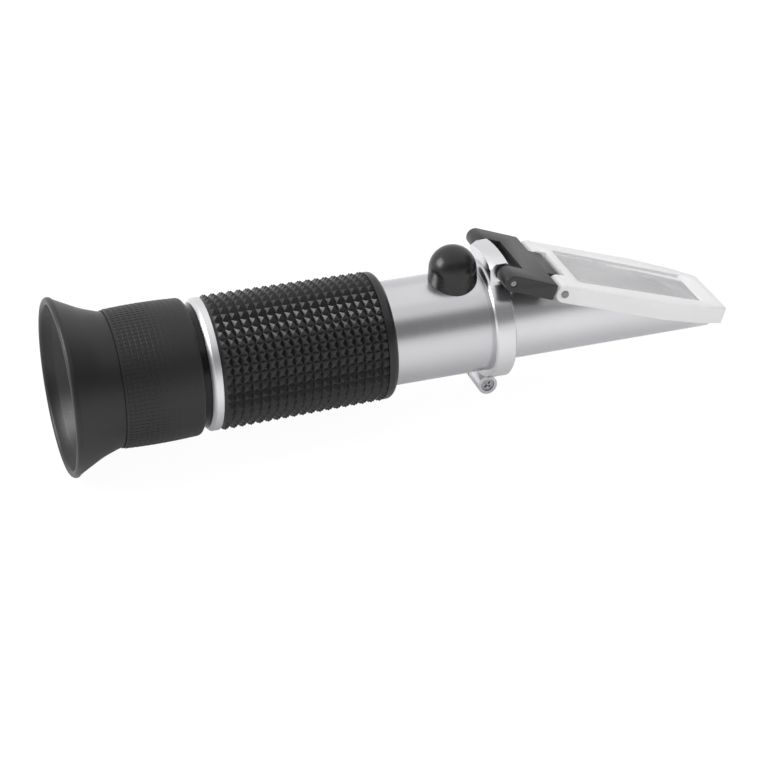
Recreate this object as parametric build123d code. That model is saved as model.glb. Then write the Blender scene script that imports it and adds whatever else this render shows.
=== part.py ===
from build123d import *
from math import atan2, cos, hypot, pi, sin, sqrt
import os

os.makedirs("parts", exist_ok=True)

# Handheld refractometer. All sizes are in mm. The origin is the centre of the eyecup's
# mouth, +X runs along the optical axis towards the prism, and +Z is the lid's side.

# Fits
RUN_GAP = 0.05          # radial clearance of a turning or sliding fit
BOND_GAP = 0.02         # radial clearance of a glued or pressed joint
PASS_GAP = 0.3          # clearance between pieces that move past each other

# Body tube, end ring and rubber grip
RING_X = 32.4           # end ring's face towards the eye, where the tube begins
RING_W = 2.5
RING_T = 3.2            # over the tube
RING_CHAMFER = 0.9
TUBE_R = 12.25
TUBE_WALL = 1.6
GRIP_L = 41.5
GRIP_T = 2.95           # over the tube, to the tips of the pyramids at its front end
GRIP_SWELL = 0.55       # how much further out the tips are at its back end
GRIP_CORE_T = 1.7       # solid rubber under the pyramids
GRIP_RIM_T = 2.7        # plain rim at each end, over the tube
GRIP_BACK_RIM_L = 0.5
GRIP_FRONT_RIM_L = 1.9
GRIP_RIM_ROUND = 1.4
STUD_H = 0.9            # pyramids on the grip, from valley to tip
STUD_PITCH = 2.05       # about, from one ring of pyramids to the next
STUD_ROWS = 42          # pyramids round the grip

# Focusing eyepiece
TRAVEL_OUT = 2.0        # focusing travel towards the eye
TRAVEL_IN = 1.2         # focusing travel towards the body
SEAT_FLANGE_L = 3.8
SEAT_FLANGE_STEP = 1.3  # flange's rim inside the end ring's
SEAT_SPIGOT_L = 8.0
NECK_STEP = 0.05        # neck over the tube
BARREL_X = 8.5          # barrel's nose
BARREL_STEP_X = 12.4    # end of the eyecup's skirt, start of the ribbed sleeve
BARREL_WALL = 1.65
BARREL_SHOULDER = 1.5
NOSE_STEP = 0.75        # nose over the tube
ADAPTER_STEP = 0.65     # bore for a camera adapter in the barrel's nose, inside the tube's outside
ADAPTER_L = 3.0
CHAMBER_STEP = 0.4      # chamber for the carrier ring and the cell's flange, inside that bore
CARRIER_RING_L = 1.8
CARRIER_RING_WALL = 2.0
SLEEVE_END_X = 30.8
SLEEVE_WALL = 1.7
SLEEVE_CROWN = 0.5      # how far the sleeve swells over its plain ends
SLEEVE_CROWN_AT = 0.6   # share of the sleeve's length at which it swells most
SLEEVE_ROUND = 1.2
CELL_WALL = 2.0
CELL_FLANGE_L = 2.4
CELL_FLANGE_STEP = 1.2  # chamber's radius over the cell's
CELL_END_GAP = 0.1
CELL_LIP = 0.8
LENS_SAG = 1.0
EYE_LENS_EDGE = 2.2
LENS_SPACER_L = 6.6
FIELD_LENS_EDGE = 1.8
LENS_RETAINER_L = 2.0
CELL_TAIL = 1.2         # thread left over behind the lens retainer
KEY_R = 0.8
KEY_DEPTH = 0.9         # how far the key reaches into the cell's slot

# Eyecup
CUP_RIM_R = 20.7
CUP_LIP = 1.2           # bead round the mouth
CUP_NECK_X = 10.8
CUP_NECK_R = 16.0
CUP_MID_X = 4.6
CUP_MID_R = 18.7
CUP_MOUTH_R = 18.9
CUP_WALL_X = 2.6        # end of the mouth's short wall, start of the cone behind it
CUP_WALL_R = 18.3

# Optics in the body tube
RETICLE_X = 44.0        # holder's face towards the eye
RETICLE_HOLDER_L = 8.0
RETICLE_WALL = 1.63     # holder's wall around the reticle
RETICLE_T = 1.5
RETICLE_RING_L = 1.5
RETICLE_LIP = 1.2
BAFFLE_WALL = 1.0
BAFFLE_STOP_R = 6.5
BAFFLE_STOP_T = 0.8
BAFFLE_STOPS = 3
GUIDE_X = 89.0          # objective guide's back wall
GUIDE_WALL = 1.9
HOUSING_X = 98.0        # prism housing's inner end, which closes the guide
OBJECTIVE_SHIFT = 0.5   # calibration travel each way
CELL_HALF_Y = 6.5
CELL_HALF_Z = 6.6
OBJECTIVE_R = 4.5
OBJECTIVE_SAG = 0.8
OBJECTIVE_EDGE = 2.6
OBJECTIVE_RING_L = 1.6
OBJECTIVE_LIP = 0.6

# Calibration screw and its cap, which lean together; heights run along the screw
CAL_X = 93.8
CAL_LEAN = 5.5          # degrees that the screw leans towards -Y
BUSH_R = 4.4
BUSH_FLOOR_H = 0.25     # seat of the screw's head over the tube
BUSH_H = 3.15           # bush over the tube
SCREW_HEAD_R = 2.6
SCREW_HEAD_H = 2.0
SCREW_SHANK_R = 1.2
SCREW_ENGAGE = 1.0      # shank in the objective cell's thread
SLOT_W = 0.6
SLOT_DEPTH = 0.9
CAP_R = 5.6
CAP_FOOT = 0.15         # how far the cap's foot spreads
CAP_FOOT_H = 2.6        # top of the spread foot over the tube
CAP_H = 8.2             # over the tube
CAP_CROWN = 4.0         # rubber above the cap's cavity

# Prism housing: a round nose cut by one slope
NOSE_WALL = 2.37        # nose's end ahead of the bezel's
NOSE_ROUND = 0.8
LIGHT_WALL = 2.13       # round the wide bore
LIGHT_WEB = 0.5         # left between the narrow bore, the prism's floor and the bezel
LIGHT_COVER = 1.0       # left between the wide bore and the slope
SLOPE_RISE = 0.35       # fall of the slope for each mm along the axis
SLOPE_AHEAD = 29.9      # slope's middle ahead of the collar
SLOPE_Z = 0.9
BEZEL_BACK_U = -14.6
BEZEL_FRONT_DROP = 0.695    # lowest corner below the axis, as a share of the housing's radius
BEZEL_BACK_STEP = 2.63  # half width inside the tube's bore
BEZEL_FRONT_WALL = 0.41     # housing beside that corner
BEZEL_T = 1.5
PRISM_BACK_U = -14.0
PRISM_TIP_U = 15.5
PRISM_STEP = 3.63       # half width inside the tube's bore
PRISM_FLOOR_WALL = 4.63 # housing under the prism

# Clamp collar with hinge block and clamp lug
COLLAR_X = 100.2
COLLAR_W = 4.9
COLLAR_T = 1.95
COLLAR_EDGE = 0.4
BLOCK_SET_BACK = 0.9    # block's face towards the eye, from the collar's
BLOCK_W = 4.4
BLOCK_HALF = 7.0
BLOCK_H = 5.25          # over the tube, in the middle
BLOCK_CROWN_R = 34.0    # radius of its slightly crowned top
BLOCK_TURN_H = 4.95     # over the tube, where the turned chamfer towards the eye begins
BLOCK_TURN_RISE = 0.7   # rise of that chamfer for each mm along the axis
BLOCK_EDGE = 0.4
LUG_X = 101.14
LUG_DROP = 3.39         # clamp screw below the tube
LUG_R = 2.35
LUG_HALF = 4.55
SPLIT_Y = 2.6
SPLIT_W = 0.7
CLAMP_HEAD_R = 1.55
CLAMP_HEAD_H = 1.3
CLAMP_SHANK_R = 1.0
CLAMP_SUNK = 0.25       # head below the lug's face
CROSS_W = 0.45
CROSS_DEPTH = 0.7

# Lid: bracket, pins and daylight plate
HINGE_X = 104.45
HINGE_H = 2.3           # hinge axis over the tube
HINGE_PIN_R = 0.75
HINGE_PIN_SUNK = 0.15   # pin's ends below the knuckles' faces
KNUCKLE_R = 2.05
KNUCKLE_GAP = 0.8       # between a knuckle and the block
BRACKET_HALF = 13.775
BRACKET_UNDER = 1.85    # centre line to underside
BRACKET_FORK = 3.85     # hinge axis to the crossbar
BRACKET_ARM = 10.85     # hinge axis to the arms' front face
BRACKET_EDGE = 0.25
TONGUE_HALF = 6.35
TONGUE_R = 1.85
PLATE_FILM = 0.1        # sample film between prism and plate
PLATE_T = 4.2
PLATE_HALF = 13.2
PLATE_BEND_U = 7.5      # where the sides begin to draw in
PLATE_CORNER_U = 17.8
PLATE_CORNER_HALF = 11.5
PLATE_TIP_U = 24.9
PLATE_TIP_HALF = 9.1
PLATE_EDGE = 0.35
PLATE_PIN_U = -19.7
PLATE_PIN_R = 0.9
PLATE_PIN_PROUD = 0.2
WINDOW_DEPTH = 0.7
WINDOW_BACK_U = -15.2
WINDOW_FRONT_U = 19.4
WINDOW_BACK_HALF = 9.2
WINDOW_FRONT_HALF = 7.6
WINDOW_ROUND = 1.0

# Worked out from the sizes above
TUBE_BORE_R = TUBE_R - TUBE_WALL
RING_R = TUBE_R + RING_T
GRIP_R = TUBE_R + GRIP_T
GRIP_CORE_R = TUBE_R + GRIP_CORE_T
GRIP_RIM_R = TUBE_R + GRIP_RIM_T
SEAT_FLANGE_R = RING_R - SEAT_FLANGE_STEP
NECK_R = TUBE_R + NECK_STEP
NOSE_R = TUBE_R + NOSE_STEP
ADAPTER_R = TUBE_R - ADAPTER_STEP
CHAMBER_R = ADAPTER_R - CHAMBER_STEP
CELL_R = CHAMBER_R - CELL_FLANGE_STEP
CELL_FLANGE_R = CHAMBER_R - PASS_GAP
BUSH_FLOOR_Z = TUBE_R + BUSH_FLOOR_H
BUSH_TOP_Z = TUBE_R + BUSH_H
CAP_TOP_Z = TUBE_R + CAP_H
CAP_FOOT_SPREAD = CAP_FOOT * (TUBE_R + CAP_FOOT_H) / CAP_FOOT_H  # at the axis, where the cone starts
COLLAR_R = TUBE_R + COLLAR_T
BLOCK_R = TUBE_R + BLOCK_H
LUG_Z = -TUBE_R - LUG_DROP
HINGE_Z = TUBE_R + HINGE_H
INSERT_R = TUBE_BORE_R - BOND_GAP       # everything that is bonded into the tube
COLLAR_END_X = COLLAR_X + COLLAR_W
BLOCK_X = COLLAR_X + BLOCK_SET_BACK
BLOCK_END_X = BLOCK_X + BLOCK_W
BLOCK_TURN_R = TUBE_R + BLOCK_TURN_H
BLOCK_TURN_END_R = BLOCK_TURN_R + BLOCK_TURN_RISE * BLOCK_W
SLOPE_X = COLLAR_END_X + SLOPE_AHEAD
SLOPE_ANGLE = atan2(SLOPE_RISE, 1)
BEZEL_FRONT_Z = BEZEL_T * cos(SLOPE_ANGLE) - BEZEL_FRONT_DROP * INSERT_R
BEZEL_FRONT_U = (SLOPE_Z - BEZEL_FRONT_Z) / sin(SLOPE_ANGLE)
NOSE_X = SLOPE_X + BEZEL_FRONT_U * cos(SLOPE_ANGLE) + NOSE_WALL
RETICLE_R = INSERT_R - RETICLE_WALL
RETICLE_SIGHT_R = RETICLE_R - RETICLE_LIP
LIGHT_BORE_R = INSERT_R - LIGHT_WALL
BEZEL_BACK_HALF = INSERT_R - BEZEL_BACK_STEP
BEZEL_FRONT_HALF = INSERT_R * sqrt(1 - BEZEL_FRONT_DROP**2) - BEZEL_FRONT_WALL
PRISM_HALF = INSERT_R - PRISM_STEP
PRISM_FLOOR_Z = PRISM_FLOOR_WALL - INSERT_R
GRIP_X = RING_X + RING_W
GRIP_END_X = GRIP_X + GRIP_L
STUD_BACK_X = GRIP_X + GRIP_BACK_RIM_L
STUD_FRONT_X = GRIP_END_X - GRIP_FRONT_RIM_L
STUD_RINGS = round((STUD_FRONT_X - STUD_BACK_X) / STUD_PITCH)
STUD_STEP = (STUD_FRONT_X - STUD_BACK_X) / STUD_RINGS
SEAT_X = RING_X - SEAT_FLANGE_L
BARREL_R = NECK_R + RUN_GAP + BARREL_WALL
BARREL_END_X = SEAT_X - TRAVEL_IN - PASS_GAP
CARRIER_RING_X = BARREL_X + ADAPTER_L
CELL_X = CARRIER_RING_X + CARRIER_RING_L + CELL_END_GAP
BARREL_SHOULDER_X = CELL_X + CELL_FLANGE_L + CELL_END_GAP
BARREL_BORE_X = BARREL_SHOULDER_X + BARREL_SHOULDER
NECK_X = BARREL_BORE_X + TRAVEL_IN + PASS_GAP
LENS_R = CELL_R - CELL_WALL
LENS_CLEAR_R = LENS_R - CELL_LIP - RUN_GAP
EYE_LENS_X = CELL_X + CELL_LIP + LENS_SAG
LENS_SPACER_X = EYE_LENS_X + EYE_LENS_EDGE
FIELD_LENS_X = LENS_SPACER_X + LENS_SPACER_L
LENS_RETAINER_X = FIELD_LENS_X + FIELD_LENS_EDGE
CELL_END_X = LENS_RETAINER_X + LENS_RETAINER_L + CELL_TAIL
KEY_X = (NECK_X + SEAT_X) / 2
RETICLE_END_X = RETICLE_X + RETICLE_HOLDER_L
GUIDE_FLOOR_X = GUIDE_X + GUIDE_WALL
OBJECTIVE_CELL_X = GUIDE_FLOOR_X + RUN_GAP
OBJECTIVE_CELL_END_X = HOUSING_X - RUN_GAP
OBJECTIVE_X = OBJECTIVE_CELL_X + OBJECTIVE_LIP + OBJECTIVE_SAG
CELL_SLOT_HALF_Z = CELL_HALF_Z + OBJECTIVE_SHIFT + PASS_GAP
SCREW_TIP_Z = CELL_HALF_Z - SCREW_ENGAGE
KNUCKLE_INNER = BLOCK_HALF + KNUCKLE_GAP
PLATE_PIN_W = PLATE_FILM + PLATE_T / 2

# The slope's own frame: x down the slope, y across, z out of it
SLOPE = Plane(
    origin=(SLOPE_X, 0, SLOPE_Z),
    x_dir=(cos(SLOPE_ANGLE), 0, -sin(SLOPE_ANGLE)),
    z_dir=(sin(SLOPE_ANGLE), 0, cos(SLOPE_ANGLE)),
)
PLATE_PIN_AT = SLOPE.from_local_coords(Vector(PLATE_PIN_U, 0, PLATE_PIN_W))

# The bracket's own frame: x from the hinge axis to the plate's pin
LINK_DX = PLATE_PIN_AT.X - HINGE_X
LINK_DZ = PLATE_PIN_AT.Z - HINGE_Z
LINK_L = hypot(LINK_DX, LINK_DZ)
LINK = Plane(
    origin=(HINGE_X, 0, HINGE_Z),
    x_dir=(LINK_DX / LINK_L, 0, LINK_DZ / LINK_L),
    z_dir=(-LINK_DZ / LINK_L, 0, LINK_DX / LINK_L),
)

BIG = 200.0             # larger than the whole instrument


def rod_x(x_start, x_end, radius):
    """Round bar along X."""
    middle = (x_start + x_end) / 2
    return Pos(middle, 0, 0) * Cylinder(radius, x_end - x_start, rotation=(0, 90, 0))


def ring_x(x_start, x_end, radius, bore):
    """Ring or tube along X."""
    return rod_x(x_start, x_end, radius) - rod_x(x_start, x_end, bore)


def rod_y(x, z, y_start, y_end, radius):
    """Round bar along Y."""
    middle = (y_start + y_end) / 2
    return Pos(x, middle, z) * Cylinder(radius, y_end - y_start, rotation=(90, 0, 0))


def rod_z(x, z_start, z_end, radius):
    """Round bar along Z, over the axis."""
    return Pos(x, 0, (z_start + z_end) / 2) * Cylinder(radius, z_end - z_start)


def leaned(body):
    """Turns a body about the optical axis to the calibration screw's lean."""
    return Rot(CAL_LEAN, 0, 0) * body


def block(x_span, y_span, z_span):
    """Box between low and high values along each axis."""
    size = [high - low for low, high in (x_span, y_span, z_span)]
    centre = [(high + low) / 2 for low, high in (x_span, y_span, z_span)]
    return Pos(*centre) * Box(*size)


def turned(*edges):
    """Body of revolution about X from a closed outline of edges in (x, radius)."""
    return revolve(Plane.XZ * make_face(Curve() + list(edges)), Axis.X)


def dome_x(x_edge, clear_r, sag):
    """Cap of a sphere on a lens's face; a negative sag swells towards the eye."""
    sphere_r = (clear_r**2 + sag**2) / (2 * abs(sag))
    top_x = x_edge + sag
    centre_x = top_x - sphere_r if sag > 0 else top_x + sphere_r
    span = sorted((x_edge, top_x + sag))
    ball = Pos(centre_x, 0, 0) * Rot(0, 90, 0) * Sphere(sphere_r)
    return ball & block(span, (-BIG, BIG), (-BIG, BIG))


def lens(x_edge, edge, radius, clear_r, sag_back, sag_front):
    """Round lens with a flat rim; each sag is how far a face swells inside the rim."""
    body = rod_x(x_edge, x_edge + edge, radius)
    return body + dome_x(x_edge, clear_r, -sag_back) + dome_x(x_edge + edge, clear_r, sag_front)


def slope_prism(outline, w_low, w_high):
    """Straight body over an outline drawn on the slope, between two heights."""
    return SLOPE * Pos(0, 0, w_low) * extrude(make_face(outline), w_high - w_low)


def tapered(u_back, u_front, half_back, half_front):
    """Outline of a four-sided frame that narrows down the slope."""
    corners = [(u_back, -half_back), (u_front, -half_front)]
    corners += [(u_front, half_front), (u_back, half_back)]
    return Polyline(*corners, close=True)


def make_main_tube():
    tube = ring_x(RING_X, COLLAR_END_X, TUBE_R, TUBE_BORE_R)
    return tube - leaned(rod_z(CAL_X, 0, BIG, BUSH_R + BOND_GAP))


def make_end_ring():
    ring = ring_x(RING_X, GRIP_X, RING_R, TUBE_R + BOND_GAP)
    outer_edge = ring.edges().filter_by(GeomType.CIRCLE).group_by(Axis.X)[0].sort_by(SortBy.RADIUS)[-1]
    return chamfer(outer_edge, RING_CHAMFER)


def stud_ring(x, radius, half_step):
    """Points round the axis, one for each row of pyramids or half a row further round."""
    turns = [(row + half_step / 2) * 2 * pi / STUD_ROWS for row in range(STUD_ROWS)]
    return [Vector(x, radius * cos(turn), radius * sin(turn)) for turn in turns]


def tip_r(x):
    """Radius of the pyramids' tips at x."""
    return GRIP_R + GRIP_SWELL * (STUD_FRONT_X - x) / (STUD_FRONT_X - STUD_BACK_X)


def flat_face(*corners):
    return Face(Wire.make_polygon(corners))


def make_studs():
    """Closed band of four-sided pyramids, all facets flat, with its bore inside the grip's core."""
    bore_r = (TUBE_R + GRIP_CORE_R) / 2
    valleys = [STUD_BACK_X + ring * STUD_STEP for ring in range(STUD_RINGS + 1)]
    bases = [stud_ring(x, tip_r(x) - STUD_H, 1) for x in valleys]
    tips = [stud_ring(x + STUD_STEP / 2, tip_r(x + STUD_STEP / 2), 0) for x in valleys[:-1]]
    bores = [stud_ring(x, bore_r, 1) for x in (valleys[0], valleys[-1])]
    facets = []
    for row in range(STUD_ROWS):
        for back, front, ring_tips in zip(bases, bases[1:], tips):
            tip = ring_tips[row]
            corners = [back[row - 1], back[row], front[row], front[row - 1]]
            facets += [flat_face(a, b, tip) for a, b in zip(corners, corners[1:] + corners[:1])]
        for base, bore in ((bases[0], bores[0]), (bases[-1], bores[1])):
            facets.append(flat_face(base[row - 1], base[row], bore[row], bore[row - 1]))
        facets.append(flat_face(bores[0][row - 1], bores[0][row], bores[1][row], bores[1][row - 1]))
    return Solid(Shell(facets))


def make_grip_sleeve():
    core = ring_x(GRIP_X, GRIP_END_X, GRIP_CORE_R, TUBE_R + BOND_GAP)
    back_rim = ring_x(GRIP_X, STUD_BACK_X + STUD_STEP / 4, GRIP_RIM_R, TUBE_R + BOND_GAP)
    front_rim = ring_x(STUD_FRONT_X - STUD_STEP / 4, GRIP_END_X, GRIP_RIM_R, TUBE_R + BOND_GAP)
    front_edges = front_rim.edges().filter_by(GeomType.CIRCLE).group_by(Axis.X)[-1]
    front_rim = fillet(front_edges.sort_by(SortBy.RADIUS)[-1], GRIP_RIM_ROUND)
    return core + back_rim + front_rim + make_studs()


def make_focus_seat():
    seat = rod_x(NECK_X, SEAT_X, NECK_R)
    seat += rod_x(SEAT_X, RING_X, SEAT_FLANGE_R)
    seat += rod_x(RING_X, RING_X + SEAT_SPIGOT_L, INSERT_R)
    seat -= rod_x(NECK_X, RING_X + SEAT_SPIGOT_L, CELL_R + RUN_GAP)
    return seat - rod_z(KEY_X, 0, BIG, KEY_R + BOND_GAP)


def make_focus_key():
    return rod_z(KEY_X, CELL_R - KEY_DEPTH, NECK_R - RUN_GAP, KEY_R)


def make_focus_barrel():
    barrel = rod_x(BARREL_X, BARREL_STEP_X, NOSE_R)
    barrel += rod_x(BARREL_STEP_X, BARREL_END_X, BARREL_R)
    barrel -= rod_x(BARREL_X, CARRIER_RING_X, ADAPTER_R)
    barrel -= rod_x(CARRIER_RING_X, BARREL_SHOULDER_X, CHAMBER_R)
    barrel -= rod_x(BARREL_SHOULDER_X, BARREL_BORE_X, CELL_R + PASS_GAP)
    return barrel - rod_x(BARREL_BORE_X, BARREL_END_X, NECK_R + RUN_GAP)


def make_focus_sleeve():
    end_r = BARREL_R + SLEEVE_WALL
    edge_r = end_r + SLEEVE_CROWN / 2
    crown_x = BARREL_STEP_X + (SLEEVE_END_X - BARREL_STEP_X) * SLEEVE_CROWN_AT
    round_x = SLEEVE_END_X - SLEEVE_ROUND
    rounding = CenterArc((round_x, edge_r - SLEEVE_ROUND), SLEEVE_ROUND, 0, 90)
    bore_r = BARREL_R + BOND_GAP
    hood_r = SEAT_FLANGE_R + PASS_GAP
    outer = Spline(
        (BARREL_STEP_X, end_r),
        (crown_x, end_r + SLEEVE_CROWN),
        (round_x, edge_r),
    )
    rest = Polyline(
        (SLEEVE_END_X, edge_r - SLEEVE_ROUND),
        (SLEEVE_END_X, hood_r),
        (BARREL_END_X, hood_r),
        (BARREL_END_X, bore_r),
        (BARREL_STEP_X, bore_r),
        (BARREL_STEP_X, end_r),
    )
    return turned(outer, rounding, rest)


def make_eyecup():
    bore_r = NOSE_R + BOND_GAP
    skirt_r = BARREL_R + SLEEVE_WALL
    lip_side_r = CUP_RIM_R - CUP_LIP / 2
    lip = ThreePointArc((0, lip_side_r), (CUP_LIP / 2, CUP_RIM_R), (CUP_LIP, lip_side_r))
    flare = Spline((CUP_LIP, lip_side_r), (CUP_MID_X, CUP_MID_R), (CUP_NECK_X, CUP_NECK_R))
    rest = Polyline(
        (CUP_NECK_X, CUP_NECK_R),
        (BARREL_STEP_X, skirt_r),
        (BARREL_STEP_X, bore_r),
        (BARREL_X, bore_r),
        (CUP_WALL_X, CUP_WALL_R),
        (CUP_LIP / 2, CUP_MOUTH_R),
        (0, CUP_MOUTH_R + CUP_LIP / 2),
        (0, lip_side_r),
    )
    return turned(lip, flare, rest)


def make_carrier_ring():
    end_x = CARRIER_RING_X + CARRIER_RING_L
    return ring_x(CARRIER_RING_X, end_x, CHAMBER_R - BOND_GAP, CHAMBER_R - CARRIER_RING_WALL)


def make_lens_cell():
    cell = rod_x(CELL_X, CELL_X + CELL_FLANGE_L, CELL_FLANGE_R) + rod_x(CELL_X, CELL_END_X, CELL_R)
    cell -= rod_x(CELL_X, CELL_END_X, LENS_R - CELL_LIP)
    cell -= rod_x(EYE_LENS_X, CELL_END_X, LENS_R + BOND_GAP)
    slot_low = KEY_X - TRAVEL_IN - KEY_R - PASS_GAP
    slot_high = KEY_X + TRAVEL_OUT + KEY_R + PASS_GAP
    key_half = KEY_R + RUN_GAP
    slot_floor = CELL_R - KEY_DEPTH - RUN_GAP
    return cell - block((slot_low, slot_high), (-key_half, key_half), (slot_floor, BIG))


def make_eye_lens():
    return lens(EYE_LENS_X, EYE_LENS_EDGE, LENS_R, LENS_CLEAR_R, LENS_SAG, LENS_SAG)


def make_lens_spacer():
    return ring_x(LENS_SPACER_X, FIELD_LENS_X, LENS_R, LENS_R - CELL_LIP)


def make_field_lens():
    return lens(FIELD_LENS_X, FIELD_LENS_EDGE, LENS_R, LENS_CLEAR_R, LENS_SAG, LENS_SAG)


def make_lens_retainer():
    return ring_x(LENS_RETAINER_X, LENS_RETAINER_X + LENS_RETAINER_L, LENS_R, LENS_R - CELL_LIP)


def make_reticle_holder():
    pocket_end = RETICLE_X + RETICLE_RING_L + RETICLE_T
    holder = ring_x(RETICLE_X, RETICLE_END_X, INSERT_R, RETICLE_SIGHT_R)
    return holder - rod_x(RETICLE_X, pocket_end, RETICLE_R + BOND_GAP)


def make_reticle():
    return rod_x(RETICLE_X + RETICLE_RING_L, RETICLE_X + RETICLE_RING_L + RETICLE_T, RETICLE_R)


def make_reticle_ring():
    return ring_x(RETICLE_X, RETICLE_X + RETICLE_RING_L, RETICLE_R, RETICLE_SIGHT_R)


def make_light_baffle():
    baffle = ring_x(RETICLE_END_X, GUIDE_X, INSERT_R, INSERT_R - BAFFLE_WALL)
    pitch = (GUIDE_X - RETICLE_END_X) / (BAFFLE_STOPS + 1)
    for number in range(1, BAFFLE_STOPS + 1):
        stop_x = RETICLE_END_X + number * pitch
        baffle += ring_x(stop_x, stop_x + BAFFLE_STOP_T, INSERT_R, BAFFLE_STOP_R)
    return baffle


def make_objective_guide():
    guide = rod_x(GUIDE_X, HOUSING_X, INSERT_R) - rod_x(GUIDE_X, GUIDE_FLOOR_X, OBJECTIVE_R)
    slot_y = CELL_HALF_Y + RUN_GAP
    slot = block((GUIDE_FLOOR_X, HOUSING_X), (-slot_y, slot_y), (-CELL_SLOT_HALF_Z, CELL_SLOT_HALF_Z))
    return leaned(guide - slot - rod_z(CAL_X, 0, BIG, SCREW_SHANK_R + PASS_GAP))


def make_objective_cell():
    cell = block(
        (OBJECTIVE_CELL_X, OBJECTIVE_CELL_END_X),
        (-CELL_HALF_Y, CELL_HALF_Y),
        (-CELL_HALF_Z, CELL_HALF_Z),
    )
    cell -= rod_x(OBJECTIVE_CELL_X, OBJECTIVE_CELL_END_X, OBJECTIVE_R - OBJECTIVE_LIP)
    cell -= rod_x(OBJECTIVE_X, OBJECTIVE_CELL_END_X, OBJECTIVE_R + BOND_GAP)
    thread_floor = SCREW_TIP_Z - OBJECTIVE_SHIFT - RUN_GAP
    return leaned(cell - rod_z(CAL_X, thread_floor, BIG, SCREW_SHANK_R + RUN_GAP))


def make_objective_lens():
    clear_r = OBJECTIVE_R - OBJECTIVE_LIP - RUN_GAP
    return lens(OBJECTIVE_X, OBJECTIVE_EDGE, OBJECTIVE_R, clear_r, OBJECTIVE_SAG, OBJECTIVE_SAG / 2)


def make_objective_ring():
    ring_start = OBJECTIVE_X + OBJECTIVE_EDGE
    return ring_x(ring_start, ring_start + OBJECTIVE_RING_L, OBJECTIVE_R, OBJECTIVE_R - OBJECTIVE_LIP)


def make_calibration_bush():
    bush = rod_z(CAL_X, TUBE_BORE_R, BUSH_TOP_Z, BUSH_R)
    bush -= rod_z(CAL_X, BUSH_FLOOR_Z, BUSH_TOP_Z, SCREW_HEAD_R + RUN_GAP)
    return leaned(bush - rod_z(CAL_X, 0, BUSH_TOP_Z, SCREW_SHANK_R + RUN_GAP))


def make_calibration_screw():
    head_z = BUSH_FLOOR_Z + RUN_GAP
    head_top = head_z + SCREW_HEAD_H
    screw = rod_z(CAL_X, head_z, head_top, SCREW_HEAD_R)
    screw += rod_z(CAL_X, SCREW_TIP_Z, head_z, SCREW_SHANK_R)
    slot_x = (CAL_X - SCREW_HEAD_R, CAL_X + SCREW_HEAD_R)
    slot = block(slot_x, (-SLOT_W / 2, SLOT_W / 2), (head_top - SLOT_DEPTH, head_top))
    return leaned(screw - slot)


def make_calibration_cap():
    dome_z = CAP_TOP_Z - CAP_R
    cap = rod_z(CAL_X, 0, dome_z, CAP_R) + Pos(CAL_X, 0, dome_z) * Sphere(CAP_R)
    foot_z = TUBE_R + CAP_FOOT_H
    cap += Pos(CAL_X, 0, foot_z / 2) * Cone(CAP_R + CAP_FOOT_SPREAD, CAP_R, foot_z)
    cap -= rod_z(CAL_X, 0, CAP_TOP_Z - CAP_CROWN, BUSH_R + RUN_GAP)
    return leaned(cap - rod_x(CAL_X - 2 * CAP_R, CAL_X + 2 * CAP_R, TUBE_R + RUN_GAP))


def prism_outline(gap):
    """Measuring face: straight sides and a round end, grown by a gap."""
    half = PRISM_HALF + gap
    back_u = PRISM_BACK_U - gap
    bend_u = PRISM_TIP_U - PRISM_HALF
    sides = Polyline((bend_u, half), (back_u, half), (back_u, -half), (bend_u, -half))
    return sides + ThreePointArc((bend_u, -half), (bend_u + half, 0), (bend_u, half))


def above_floor(body, floor_z):
    """Keeps what lies over a level floor."""
    return body & block((0, BIG), (-BIG, BIG), (floor_z, BIG))


def make_prism_housing():
    housing = rod_x(HOUSING_X, NOSE_X, INSERT_R)
    nose_edge = housing.edges().filter_by(GeomType.CIRCLE).sort_by(Axis.X)[-1]
    housing = fillet(nose_edge, NOSE_ROUND)
    housing -= SLOPE * Pos(0, 0, BIG / 2) * Box(2 * BIG, BIG, BIG)
    bezel = tapered(
        BEZEL_BACK_U - BOND_GAP,
        BEZEL_FRONT_U + BOND_GAP,
        BEZEL_BACK_HALF + BOND_GAP,
        BEZEL_FRONT_HALF + BOND_GAP,
    )
    housing -= slope_prism(bezel, -BEZEL_T, 1)
    housing -= above_floor(slope_prism(prism_outline(BOND_GAP), -BIG, 1), PRISM_FLOOR_Z - BOND_GAP)
    prism_back = SLOPE.from_local_coords(Vector(PRISM_BACK_U, 0, 0))
    low = PRISM_FLOOR_Z + LIGHT_WEB
    high = prism_back.Z - BEZEL_T / cos(SLOPE_ANGLE) - LIGHT_WEB
    housing -= Pos(0, 0, (low + high) / 2) * rod_x(HOUSING_X, prism_back.X, (high - low) / 2)
    wide_end = SLOPE_X - (LIGHT_BORE_R + LIGHT_COVER - SLOPE_Z) / SLOPE_RISE
    return housing - rod_x(HOUSING_X, wide_end, LIGHT_BORE_R)


def make_prism_bezel():
    frame = tapered(BEZEL_BACK_U, BEZEL_FRONT_U, BEZEL_BACK_HALF, BEZEL_FRONT_HALF)
    return slope_prism(frame, -BEZEL_T, 0) - slope_prism(prism_outline(BOND_GAP), -BEZEL_T, 0)


def make_measuring_prism():
    prism = above_floor(slope_prism(prism_outline(0), -BIG, 0), PRISM_FLOOR_Z)
    exit_x = SLOPE.from_local_coords(Vector(PRISM_BACK_U, 0, 0)).X
    return prism & block((exit_x, BIG), (-BIG, BIG), (-BIG, BIG))


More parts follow.
